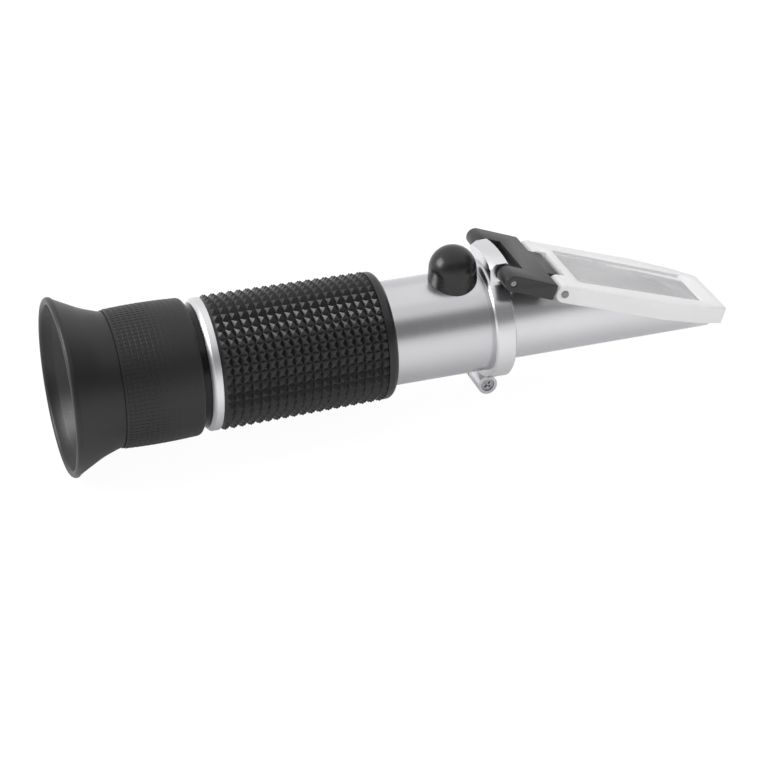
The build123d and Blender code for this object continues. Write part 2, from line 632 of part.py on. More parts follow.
def make_hinge_collar():
    collar = rod_x(COLLAR_X, COLLAR_END_X, COLLAR_R)
    rims = collar.edges().filter_by(GeomType.CIRCLE)
    collar = chamfer(rims, COLLAR_EDGE)
    head = block((BLOCK_X, BLOCK_END_X), (-BLOCK_HALF, BLOCK_HALF), (TUBE_R / 2, BIG))
    head &= Pos(0, 0, BLOCK_R - BLOCK_CROWN_R) * rod_x(BLOCK_X, BLOCK_END_X, BLOCK_CROWN_R)
    turned_side = Polyline(
        (BLOCK_X, 0),
        (BLOCK_X, BLOCK_TURN_R),
        (BLOCK_END_X, BLOCK_TURN_END_R),
        (BLOCK_END_X, 0),
        close=True,
    )
    head &= turned(turned_side)
    end_edges = head.faces().sort_by(Axis.X)[-1].edges().sort_by(Axis.Z)[-1]
    head = chamfer(end_edges, BLOCK_EDGE)
    collar += head + rod_y(LUG_X, LUG_Z, -LUG_HALF, LUG_HALF, LUG_R)
    collar -= rod_x(0, BIG, TUBE_R + BOND_GAP)
    collar -= rod_y(HINGE_X, HINGE_Z, -BIG, BIG, HINGE_PIN_R + BOND_GAP)
    collar -= rod_y(LUG_X, LUG_Z, -BIG, BIG, CLAMP_SHANK_R + BOND_GAP)
    head_floor = -LUG_HALF + CLAMP_SUNK + CLAMP_HEAD_H
    collar -= rod_y(LUG_X, LUG_Z, -BIG, head_floor, CLAMP_HEAD_R + RUN_GAP)
    split = (SPLIT_Y - SPLIT_W / 2, SPLIT_Y + SPLIT_W / 2)
    return collar - block((0, BIG), split, (-BIG, -TUBE_R / 2))


def make_clamp_screw():
    face_y = -LUG_HALF + CLAMP_SUNK
    head_end = face_y + CLAMP_HEAD_H
    screw = rod_y(LUG_X, LUG_Z, face_y, head_end, CLAMP_HEAD_R)
    screw += rod_y(LUG_X, LUG_Z, head_end, LUG_HALF - CLAMP_SUNK, CLAMP_SHANK_R)
    for turn in (45, 135):
        arm = Box(2 * CLAMP_SHANK_R, 2 * CROSS_DEPTH, CROSS_W)
        screw -= Pos(LUG_X, face_y, LUG_Z) * Rot(0, turn, 0) * arm
    return screw


def make_hinge_pin():
    half = BRACKET_HALF - HINGE_PIN_SUNK
    return rod_y(HINGE_X, HINGE_Z, -half, half, HINGE_PIN_R)


def link_block(a_span, y_span, top):
    """Block in the bracket's frame, from the underside up to top."""
    return LINK * block(a_span, y_span, (-BRACKET_UNDER, top))


def make_hinge_bracket():
    bracket = link_block((BRACKET_FORK, BRACKET_ARM), (-BRACKET_HALF, BRACKET_HALF), KNUCKLE_R)
    front_edges = bracket.edges().group_by(Axis.X)[-1]
    bracket = chamfer(front_edges, BRACKET_EDGE)
    bracket += link_block((BRACKET_FORK, LINK_L), (-TONGUE_HALF, TONGUE_HALF), TONGUE_R)
    bracket += rod_y(PLATE_PIN_AT.X, PLATE_PIN_AT.Z, -TONGUE_HALF, TONGUE_HALF, TONGUE_R)
    for side in (-1, 1):
        y_span = sorted((side * KNUCKLE_INNER, side * BRACKET_HALF))
        bracket += link_block((0, BRACKET_FORK), y_span, KNUCKLE_R)
        bracket += rod_y(HINGE_X, HINGE_Z, *y_span, KNUCKLE_R)
    bracket -= rod_y(HINGE_X, HINGE_Z, -BIG, BIG, HINGE_PIN_R + RUN_GAP)
    return bracket - rod_y(PLATE_PIN_AT.X, PLATE_PIN_AT.Z, -BIG, BIG, PLATE_PIN_R + BOND_GAP)


def make_plate_pin():
    half = PLATE_HALF + PLATE_PIN_PROUD
    return rod_y(PLATE_PIN_AT.X, PLATE_PIN_AT.Z, -half, half, PLATE_PIN_R)


def plate_outline():
    """Plan of the daylight plate: straight sides, then three steps in to the tip."""
    side = [
        (PLATE_PIN_U, PLATE_HALF),
        (PLATE_BEND_U, PLATE_HALF),
        (PLATE_CORNER_U, PLATE_CORNER_HALF),
        (PLATE_TIP_U, PLATE_TIP_HALF),
    ]
    mirrored = [(u, -half) for u, half in reversed(side)]
    return Polyline(*side, *mirrored, close=True)


def make_daylight_plate():
    top = PLATE_FILM + PLATE_T
    plate = slope_prism(plate_outline(), PLATE_FILM, top)
    upward = Axis(SLOPE.origin, SLOPE.z_dir)
    plate = chamfer(plate.faces().sort_by(upward)[-1].edges(), PLATE_EDGE)
    plate += rod_y(PLATE_PIN_AT.X, PLATE_PIN_AT.Z, -PLATE_HALF, PLATE_HALF, PLATE_T / 2)
    notch_y = TONGUE_HALF + PASS_GAP
    notch_u = PLATE_PIN_U + TONGUE_R + PASS_GAP
    plate -= SLOPE * block((-BIG, notch_u), (-notch_y, notch_y), (-BIG, BIG))
    window = tapered(WINDOW_BACK_U, WINDOW_FRONT_U, WINDOW_BACK_HALF, WINDOW_FRONT_HALF)
    recess = fillet(make_face(window).vertices(), WINDOW_ROUND)
    plate -= SLOPE * Pos(0, 0, top - WINDOW_DEPTH) * extrude(recess, WINDOW_DEPTH + PASS_GAP)
    return plate - rod_y(PLATE_PIN_AT.X, PLATE_PIN_AT.Z, -BIG, BIG, PLATE_PIN_R + RUN_GAP)


NODES = {
    "main_tube": make_main_tube,
    "end_ring": make_end_ring,
    "grip_sleeve": make_grip_sleeve,
    "focus_seat": make_focus_seat,
    "focus_key": make_focus_key,
    "reticle_holder": make_reticle_holder,
    "reticle": make_reticle,
    "reticle_ring": make_reticle_ring,
    "light_baffle": make_light_baffle,
    "objective_guide": make_objective_guide,
    "calibration_bush": make_calibration_bush,
    "prism_housing": make_prism_housing,
    "prism_bezel": make_prism_bezel,
    "measuring_prism": make_measuring_prism,
    "hinge_collar": make_hinge_collar,
    "clamp_screw": make_clamp_screw,
    "hinge_pin": make_hinge_pin,
    "focus_barrel": make_focus_barrel,
    "focus_sleeve": make_focus_sleeve,
    "eyecup": make_eyecup,
    "carrier_ring": make_carrier_ring,
    "lens_cell": make_lens_cell,
    "eye_lens": make_eye_lens,
    "lens_spacer": make_lens_spacer,
    "field_lens": make_field_lens,
    "lens_retainer": make_lens_retainer,
    "objective_cell": make_objective_cell,
    "objective_lens": make_objective_lens,
    "objective_ring": make_objective_ring,
    "calibration_screw": make_calibration_screw,
    "calibration_cap": make_calibration_cap,
    "hinge_bracket": make_hinge_bracket,
    "plate_pin": make_plate_pin,
    "daylight_plate": make_daylight_plate,
}

for node, make in NODES.items():
    export_step(make(), f"parts/{node}.step")
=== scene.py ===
import math

import bmesh
import bpy
from mathutils import Matrix, Vector


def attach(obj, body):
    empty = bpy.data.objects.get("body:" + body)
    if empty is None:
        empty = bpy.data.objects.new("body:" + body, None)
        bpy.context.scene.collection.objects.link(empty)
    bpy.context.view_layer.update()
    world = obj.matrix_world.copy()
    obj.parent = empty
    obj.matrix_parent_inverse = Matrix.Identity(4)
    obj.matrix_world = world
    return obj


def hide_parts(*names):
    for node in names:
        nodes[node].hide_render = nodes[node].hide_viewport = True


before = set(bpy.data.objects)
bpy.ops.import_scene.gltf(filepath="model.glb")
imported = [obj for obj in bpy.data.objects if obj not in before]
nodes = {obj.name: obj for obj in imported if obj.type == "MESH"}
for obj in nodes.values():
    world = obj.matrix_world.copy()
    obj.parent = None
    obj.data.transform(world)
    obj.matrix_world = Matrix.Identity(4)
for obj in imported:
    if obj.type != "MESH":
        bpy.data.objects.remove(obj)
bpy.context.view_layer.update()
scene = bpy.context.scene
mm = 0.001
print("frame loaded:", len(nodes), "CAD nodes")

# Camera: a long lens a little above the instrument, on the eyepiece's side
camera = {
    "target": (78.394, 0.0, -15.198),   # mm
    "distance": 644.115,                # mm
    "azimuth": -17.149,                 # degrees from straight in front
    "elevation": 28.492,
    "roll": -1.413,
    "lens": 126.23,
    "clip": 0.01,                       # m
}


def makeCamera():
    azimuth, elevation, roll = (math.radians(camera[k]) for k in ("azimuth", "elevation", "roll"))
    back = Vector((
        math.sin(azimuth) * math.cos(elevation),
        -math.cos(azimuth) * math.cos(elevation),
        math.sin(elevation),
    ))
    right = Vector((0, 0, 1)).cross(back).normalized()
    up = back.cross(right)
    turnedRight = math.cos(roll) * right + math.sin(roll) * up
    turnedUp = -math.sin(roll) * right + math.cos(roll) * up
    place = (Vector(camera["target"]) + back * camera["distance"]) * mm
    data = bpy.data.cameras.new("camera")
    data.lens = camera["lens"]
    data.clip_start = camera["clip"]
    thing = bpy.data.objects.new("camera", data)
    axes = Matrix((turnedRight, turnedUp, back)).transposed()
    thing.matrix_world = Matrix.Translation(place) @ axes.to_4x4()
    scene.collection.objects.link(thing)
    scene.camera = thing


makeCamera()
scene.view_settings.view_transform = "Standard"


def hexColour(code):
    # sRGB hex to the linear colour that Blender works in
    values = [int(code[i:i + 2], 16) / 255 for i in (1, 3, 5)]
    linear = [v / 12.92 if v <= 0.04045 else ((v + 0.055) / 1.055) ** 2.4 for v in values]
    return (*linear, 1.0)


def addNode(tree, kind, inputs=None, **settings):
    # one node with its settings, and each input either linked or given a value
    node = tree.nodes.new(kind)
    for name, value in settings.items():
        setattr(node, name, value)
    for key, value in (inputs or {}).items():
        if isinstance(value, bpy.types.NodeSocket):
            tree.links.new(value, node.inputs[key])
        else:
            node.inputs[key].default_value = value
    return node


def newMaterial(name, colour):
    material = bpy.data.materials.new(name)
    material.use_nodes = True
    material.node_tree.nodes.clear()
    material.diffuse_color = hexColour(colour)
    return material, material.node_tree


# Materials. Sizes are in mm; glossier and duller say how far the roughness strays from its middle
noiseLow, noiseHigh = 0.3, 0.7      # most of a noise texture lies between these
rubber = {"cloud": 9, "glossier": 0.05, "duller": 0.06, "relief": 0.5, "ior": 1.5}


def mouldedRubber(name, dark, pale, roughness, grain=0.25, depth=0.012):
    # rubber from a blasted mould: near black and dull, with a fine skin and slow blotches of bloom
    material, tree = newMaterial(name, dark)
    where = addNode(tree, "ShaderNodeTexCoord").outputs["Object"]
    bloom = addNode(tree, "ShaderNodeTexNoise", {
        "Vector": where, "Scale": 1 / (rubber["cloud"] * mm), "Detail": 4.0,
    })
    colour = addNode(tree, "ShaderNodeMix", {
        "Factor": bloom.outputs[0], 6: hexColour(dark), 7: hexColour(pale),
    }, data_type="RGBA")
    skin = addNode(tree, "ShaderNodeTexNoise", {
        "Vector": where, "Scale": 1 / (grain * mm), "Detail": 3.0,
    })
    gloss = addNode(tree, "ShaderNodeMapRange", {
        "Value": skin.outputs[0], "From Min": noiseLow, "From Max": noiseHigh,
        "To Min": roughness - rubber["glossier"], "To Max": roughness + rubber["duller"],
    })
    bump = addNode(tree, "ShaderNodeBump", {
        "Height": skin.outputs[0], "Strength": rubber["relief"], "Distance": depth * mm,
    })
    shader = addNode(tree, "ShaderNodeBsdfPrincipled", {
        "Base Color": colour.outputs[2], "Roughness": gloss.outputs[0], "Normal": bump.outputs[0],
        "IOR": rubber["ior"],
    })
    addNode(tree, "ShaderNodeOutputMaterial", {"Surface": shader.outputs[0]})
    return material


turned = {"round": 0.04, "haze": 14, "glossier": 0.01, "duller": 0.03, "relief": 0.06}


def turnedMetal(name, low, high, roughness, lines=0.5, depth=0.0002):
    # aluminium turned on a lathe: tool lines near 0.1 mm apart would not show,
    # so they are drawn 0.5 mm apart, running round the axis, and draw the reflections out along it
    material, tree = newMaterial(name, high)
    where = addNode(tree, "ShaderNodeTexCoord").outputs["Object"]
    along = addNode(tree, "ShaderNodeMapping", {
        "Vector": where, "Scale": (1, turned["round"], turned["round"]),
    })
    cut = addNode(tree, "ShaderNodeTexNoise", {
        "Vector": along.outputs[0], "Scale": 1 / (lines * mm), "Detail": 2.0,
    })
    haze = addNode(tree, "ShaderNodeTexNoise", {
        "Vector": where, "Scale": 1 / (turned["haze"] * mm), "Detail": 3.0,
    })
    colour = addNode(tree, "ShaderNodeMix", {
        "Factor": haze.outputs[0], 6: hexColour(low), 7: hexColour(high),
    }, data_type="RGBA")
    gloss = addNode(tree, "ShaderNodeMapRange", {
        "Value": cut.outputs[0], "From Min": noiseLow, "From Max": noiseHigh,
        "To Min": roughness - turned["glossier"], "To Max": roughness + turned["duller"],
    })
    bump = addNode(tree, "ShaderNodeBump", {
        "Height": cut.outputs[0], "Strength": turned["relief"], "Distance": depth * mm,
    })
    shader = addNode(tree, "ShaderNodeBsdfPrincipled", {
        "Base Color": colour.outputs[2], "Metallic": 1.0, "Roughness": gloss.outputs[0],
        "Normal": bump.outputs[0],
    })
    addNode(tree, "ShaderNodeOutputMaterial", {"Surface": shader.outputs[0]})
    return material


anodised = {
    "lines": 0.3, "round": 0.05, "metal": 0.4, "strays": 0.06, "relief": 0.3, "depth": 0.002,
}


def blackAnodising(name, colour, roughness):
    # dyed anodised aluminium inside the instrument: black with a soft metal sheen
    material, tree = newMaterial(name, colour)
    where = addNode(tree, "ShaderNodeTexCoord").outputs["Object"]
    along = addNode(tree, "ShaderNodeMapping", {
        "Vector": where, "Scale": (1, anodised["round"], anodised["round"]),
    })
    cut = addNode(tree, "ShaderNodeTexNoise", {
        "Vector": along.outputs[0], "Scale": 1 / (anodised["lines"] * mm), "Detail": 2.0,
    })
    gloss = addNode(tree, "ShaderNodeMapRange", {
        "Value": cut.outputs[0], "From Min": noiseLow, "From Max": noiseHigh,
        "To Min": roughness - anodised["strays"], "To Max": roughness + anodised["strays"],
    })
    bump = addNode(tree, "ShaderNodeBump", {
        "Height": cut.outputs[0], "Strength": anodised["relief"],
        "Distance": anodised["depth"] * mm,
    })
    shader = addNode(tree, "ShaderNodeBsdfPrincipled", {
        "Base Color": hexColour(colour), "Metallic": anodised["metal"],
        "Roughness": gloss.outputs[0], "Normal": bump.outputs[0],
    })
    addNode(tree, "ShaderNodeOutputMaterial", {"Surface": shader.outputs[0]})
    return material


plastic = {"cloud": 6, "cell": 0.8, "glossier": 0.04, "duller": 0.06, "relief": 0.4, "ior": 1.53}


def mouldedPlastic(name, dark, pale, roughness, grain=0.18, depth=0.006):
    # injection moulded plastic with a fine spark-eroded skin and faint flow clouds
    material, tree = newMaterial(name, dark)
    where = addNode(tree, "ShaderNodeTexCoord").outputs["Object"]
    cloud = addNode(tree, "ShaderNodeTexNoise", {
        "Vector": where, "Scale": 1 / (plastic["cloud"] * mm), "Detail": 3.0,
    })
    colour = addNode(tree, "ShaderNodeMix", {
        "Factor": cloud.outputs[0], 6: hexColour(dark), 7: hexColour(pale),
    }, data_type="RGBA")
    skin = addNode(tree, "ShaderNodeTexVoronoi", {"Vector": where, "Scale": 1 / (grain * mm)})
    gloss = addNode(tree, "ShaderNodeMapRange", {
        "Value": skin.outputs[0], "From Min": 0.0, "From Max": plastic["cell"],
        "To Min": roughness - plastic["glossier"], "To Max": roughness + plastic["duller"],
    })
    bump = addNode(tree, "ShaderNodeBump", {
        "Height": skin.outputs[0], "Strength": plastic["relief"], "Distance": depth * mm,
    })
    shader = addNode(tree, "ShaderNodeBsdfPrincipled", {
        "Base Color": colour.outputs[2], "Roughness": gloss.outputs[0], "Normal": bump.outputs[0],
        "IOR": plastic["ior"],
    })
    addNode(tree, "ShaderNodeOutputMaterial", {"Surface": shader.outputs[0]})
    return material


machined = {"along": 0.3, "glossier": 0.08, "duller": 0.1, "relief": 0.3, "depth": 0.002}


def machinedMetal(name, low, high, roughness, grain=0.12):
    # bright small fittings, ground or cold headed: little scratches that catch the light
    material, tree = newMaterial(name, high)
    where = addNode(tree, "ShaderNodeTexCoord").outputs["Object"]
    across = addNode(tree, "ShaderNodeMapping", {
        "Vector": where, "Scale": (machined["along"], 1, 1),
    })
    scratch = addNode(tree, "ShaderNodeTexNoise", {
        "Vector": across.outputs[0], "Scale": 1 / (grain * mm), "Detail": 4.0,
    })
    colour = addNode(tree, "ShaderNodeMix", {
        "Factor": scratch.outputs[0], 6: hexColour(low), 7: hexColour(high),
    }, data_type="RGBA")
    gloss = addNode(tree, "ShaderNodeMapRange", {
        "Value": scratch.outputs[0], "From Min": noiseLow, "From Max": noiseHigh,
        "To Min": roughness - machined["glossier"], "To Max": roughness + machined["duller"],
    })
    bump = addNode(tree, "ShaderNodeBump", {
        "Height": scratch.outputs[0], "Strength": machined["relief"],
        "Distance": machined["depth"] * mm,
    })
    shader = addNode(tree, "ShaderNodeBsdfPrincipled", {
        "Base Color": colour.outputs[2], "Metallic": 1.0, "Roughness": gloss.outputs[0],
        "Normal": bump.outputs[0],
    })
    addNode(tree, "ShaderNodeOutputMaterial", {"Surface": shader.outputs[0]})
    return material


glass = {"haze": 5, "duller": 0.02}


def opticalGlass(name, colour, ior, roughness):
    # ground and polished glass: clear, with a trace of polishing haze
    material, tree = newMaterial(name, colour)
    where = addNode(tree, "ShaderNodeTexCoord").outputs["Object"]
    haze = addNode(tree, "ShaderNodeTexNoise", {
        "Vector": where, "Scale": 1 / (glass["haze"] * mm), "Detail": 3.0,
    })
    gloss = addNode(tree, "ShaderNodeMapRange", {
        "Value": haze.outputs[0], "From Min": noiseLow, "From Max": noiseHigh,
        "To Min": roughness, "To Max": roughness + glass["duller"],
    })
    shader = addNode(tree, "ShaderNodeBsdfPrincipled", {
        "Base Color": hexColour(colour), "Roughness": gloss.outputs[0], "IOR": ior,
        "Transmission Weight": 1.0,
    })
    addNode(tree, "ShaderNodeOutputMaterial", {"Surface": shader.outputs[0]})
    return material


# least and most are shares of the roughness
cast = {"least": 0.6, "most": 1.4, "relief": 0.4, "ior": 1.49}


def acrylic(name, colour, clear, roughness, grain, depth):
    # cast acrylic: glassy where it was polished, milky where its mould was blasted
    material, tree = newMaterial(name, colour)
    where = addNode(tree, "ShaderNodeTexCoord").outputs["Object"]
    skin = addNode(tree, "ShaderNodeTexNoise", {
        "Vector": where, "Scale": 1 / (grain * mm), "Detail": 3.0,
    })
    gloss = addNode(tree, "ShaderNodeMapRange", {
        "Value": skin.outputs[0], "From Min": noiseLow, "From Max": noiseHigh,
        "To Min": roughness * cast["least"], "To Max": roughness * cast["most"],
    })
    bump = addNode(tree, "ShaderNodeBump", {
        "Height": skin.outputs[0], "Strength": cast["relief"], "Distance": depth * mm,
    })
    shader = addNode(tree, "ShaderNodeBsdfPrincipled", {
        "Base Color": hexColour(colour), "Roughness": gloss.outputs[0], "Normal": bump.outputs[0],
        "IOR": cast["ior"], "Transmission Weight": clear,
    })
    addNode(tree, "ShaderNodeOutputMaterial", {"Surface": shader.outputs[0]})
    return material


finishes = {
    "cupRubber": mouldedRubber("moulded eyecup rubber", "#111112", "#161617", 0.4),
    "sleeveRubber": mouldedRubber("moulded focusing ring rubber", "#151516", "#191919", 0.46),
    "gripRubber": mouldedRubber("moulded grip rubber", "#141415", "#181819", 0.34, 0.4, 0.006),
    "capRubber": mouldedRubber("smooth rubber cap", "#171717", "#1c1c1c", 0.28, 1.4, 0.001),
    "tubeAluminium": turnedMetal("clear anodised tube aluminium", "#c8c8cb", "#d2d2d5", 0.24),
    "ringAluminium": turnedMetal("turned end ring aluminium", "#dadadd", "#e4e4e7", 0.34),
    "collarNickel": turnedMetal("nickel plated zinc casting", "#d9d9dc", "#e5e5e8", 0.22, 0.8),
    "housingAluminium": turnedMetal("clear anodised nose aluminium", "#d5d5d8", "#dfdfe2", 0.3),
    "seatEnamel": blackAnodising("gloss black seat", "#0d0d10", 0.14),
    "innerBlack": blackAnodising("black anodised inner aluminium", "#1b1b1d", 0.42),
    "barrelBlack": blackAnodising("matt black barrel", "#1f1f21", 0.5),
    "bracketPlastic": mouldedPlastic("dark grey moulded bracket", "#1f1f20", "#262627", 0.38),
    "bezelPlastic": mouldedPlastic("pale moulded prism frame", "#dededf", "#e6e6e8", 0.4),
    "linerPlastic": mouldedPlastic("black liner plastic", "#151515", "#191919", 0.6),
    "pinSteel": machinedMetal("ground pin steel", "#9b9b9c", "#c9c9ca", 0.27),
    # darker steel for the two pins: its dark tone is partly the steel's own and partly painted
    # shade round their recessed ends
    "shadedPinSteel": machinedMetal("dark pin steel with painted shade", "#77777a", "#99999c", 0.3),
    "screwSteel": machinedMetal("cold headed screw steel", "#a2a2a5", "#d0d0d2", 0.3),
    "brass": machinedMetal("turned brass", "#a98a4c", "#c6a866", 0.3),
    "lensGlass": opticalGlass("coated lens glass", "#f4fafb", 1.517, 0.01),
    "prismGlass": acrylic("prism glass over its ground base", "#a19fa9", 0.1, 0.2, 3.0, 0.001),
    "clearAcrylic": acrylic("clear cast acrylic", "#f6f6f8", 0.78, 0.12, 1.5, 0.001),
    "milkyAcrylic": acrylic("blasted acrylic rim", "#fcfcfc", 0.25, 0.42, 0.2, 0.003),
}
print("materials made:", len(finishes))


def dress(thing, *names):
    thing.data.materials.clear()
    for name in names:
        thing.data.materials.append(finishes[name])


def addObject(name, mesh):
    thing = bpy.data.objects.new(name, mesh)
    scene.collection.objects.link(thing)
    return thing


def smoothByAngle(mesh, degrees):
    mesh.polygons.foreach_set("use_smooth", [True] * len(mesh.polygons))
    mesh.set_sharp_from_angle(angle=math.radians(degrees))


def applyModifiers(thing):
    # swaps the object's mesh for the one its modifiers give
    graph = bpy.context.evaluated_depsgraph_get()
    mesh = bpy.data.meshes.new_from_object(thing.evaluated_get(graph), depsgraph=graph)
    old = thing.data
    thing.modifiers.clear()
    thing.data = mesh
    bpy.data.meshes.remove(old)


def roundedOutline(corners, steps=5):
    # closed outline in (x, radius); a corner's third number rounds it
    points = []
    count = len(corners)
    for i, corner in enumerate(corners):
        here = Vector(corner[:2])
        rounding = corner[2] if len(corner) > 2 else 0
        if rounding == 0:
            points.append(here)
            continue
        toLast = (Vector(corners[i - 1][:2]) - here).normalized()
        toNext = (Vector(corners[(i + 1) % count][:2]) - here).normalized()
        half = toLast.angle(toNext) / 2
        reach = rounding / math.tan(half)
        centre = here + (toLast + toNext).normalized() * (rounding / math.sin(half))
        first, last = here + toLast * reach - centre, here + toNext * reach - centre
        sweep = first.angle_signed(last)
        for step in range(steps + 1):
            angle = -sweep * step / steps
            arm = Matrix.Rotation(angle, 2) @ first
            points.append(centre + arm)
    return points


def lathe(name, outline, segments=160, crease=35):
    # closed ring from an outline in mm, turned about the optical axis
    mesh = bpy.data.meshes.new(name)
    count = len(outline)
    points = []
    for turn in range(segments):
        angle = 2 * math.pi * turn / segments
        points += [(x * mm, r * mm * math.cos(angle), r * mm * math.sin(angle)) for x, r in outline]
    faces = []
    for turn in range(segments):
        here, there = turn * count, (turn + 1) % segments * count
        for i in range(count):
            after = (i + 1) % count
            faces.append((here + i, here + after, there + after, there + i))
    mesh.from_pydata(points, [], faces)
    shape = bmesh.new()
    shape.from_mesh(mesh)
    bmesh.ops.recalc_face_normals(shape, faces=shape.faces)
    shape.to_mesh(mesh)
    shape.free()
    smoothByAngle(mesh, crease)
    return addObject(name, mesh)


def curveThrough(points, steps=8):
    # smooth run through a few points, by Catmull and Rom's rule
    ends = [2 * Vector(points[0]) - Vector(points[1])] + [Vector(p) for p in points]
    ends.append(2 * ends[-1] - ends[-2])
    run = []
    for i in range(1, len(ends) - 2):
        a, b, c, d = ends[i - 1:i + 3]
        for step in range(steps):
            t = step / steps
            run.append(0.5 * (2 * b + (c - a) * t + (2 * a - 5 * b + 4 * c - d) * t * t
                              + (3 * b - a - 3 * c + d) * t ** 3))
    run.append(ends[-2])
    return [tuple(point) for point in run]


# mm and degrees: points nearer than this become one, and so do faces flatter than this
weld = {"distance": 0.002, "angle": 0.4}


def finishedCopy(node, name, finish, body, edge=0.0, angle=30, segments=2):
    # CAD solid with its triangles joined, its flats cleaned and its sharp edges broken
    mesh = nodes[node].data.copy()
    shape = bmesh.new()
    shape.from_mesh(mesh)
    bmesh.ops.remove_doubles(shape, verts=shape.verts, dist=weld["distance"] * mm)
    bmesh.ops.dissolve_limit(
        shape, angle_limit=math.radians(weld["angle"]),
        verts=shape.verts, edges=shape.edges, delimit=set(),
    )
    shape.to_mesh(mesh)
    shape.free()
    # the exported normals no longer fit the joined triangles
    kept = mesh.attributes.get("custom_normal")
    if kept is not None:
        mesh.attributes.remove(kept)
    thing = addObject(name, mesh)
    if edge > 0:
        bevel = thing.modifiers.new("brokenEdges", "BEVEL")
        bevel.width = edge * mm
        bevel.segments = segments
        bevel.limit_method = "ANGLE"
        bevel.angle_limit = math.radians(angle)
        bevel.harden_normals = False
        applyModifiers(thing)
    smoothByAngle(thing.data, angle)
    dress(thing, finish)
    ride(thing, body, node)
    return thing


def ride(thing, body, *replaced):
    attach(thing, body)
    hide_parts(*replaced)


